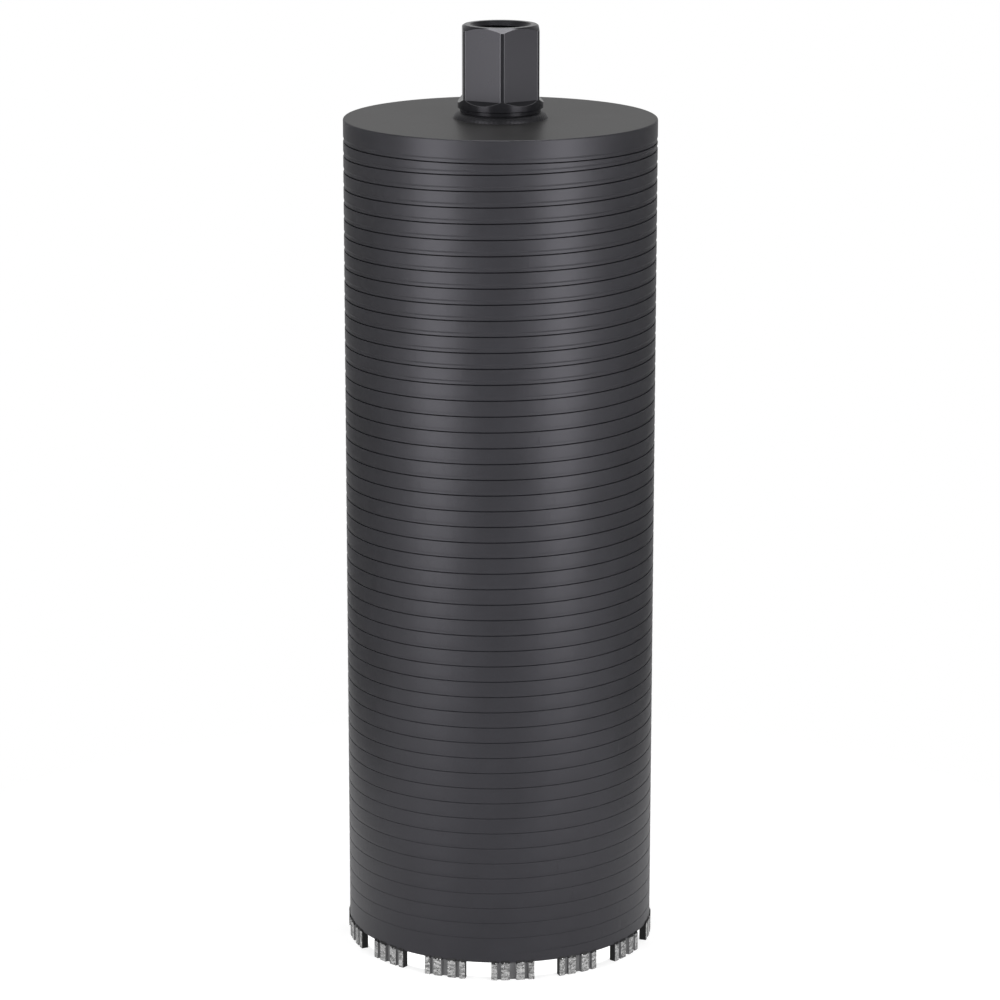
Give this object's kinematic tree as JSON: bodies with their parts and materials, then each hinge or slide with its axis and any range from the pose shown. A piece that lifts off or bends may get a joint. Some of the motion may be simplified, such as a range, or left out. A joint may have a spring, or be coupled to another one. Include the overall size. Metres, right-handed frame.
{
  "type": "diamond core bit",
  "caption": "Wet-cutting core bit: a long steel tube with diamond segments welded to its rim, a closed top plate and a hexagonal threaded hub that screws onto a drill rig's spindle.",
  "frame": {"origin": "on the drilling axis, in the plane of the segments' cutting ends", "axes": "+Z along the drilling axis, from the cutting ends up to the hub; +X and +Y across the tube"},
  "size_m": [0.172, 0.172, 0.5145],
  "materials": {
    "black_paint": "satin",
    "segment_metal": "ground"
  },
  "bodies": {
    "root": {"barrel": "black_paint", "end_cap": "black_paint", "cap_weld": "black_paint", "hub": "black_paint", "hub_weld": "black_paint", "segment_01": "segment_metal", "segment_02": "segment_metal", "segment_03": "segment_metal", "segment_04": "segment_metal", "segment_05": "segment_metal", "segment_06": "segment_metal", "segment_07": "segment_metal", "segment_08": "segment_metal", "segment_09": "segment_metal", "segment_10": "segment_metal", "segment_11": "segment_metal", "segment_12": "segment_metal", "segment_13": "segment_metal", "segment_14": "segment_metal"}
  },
  "joints": []
}
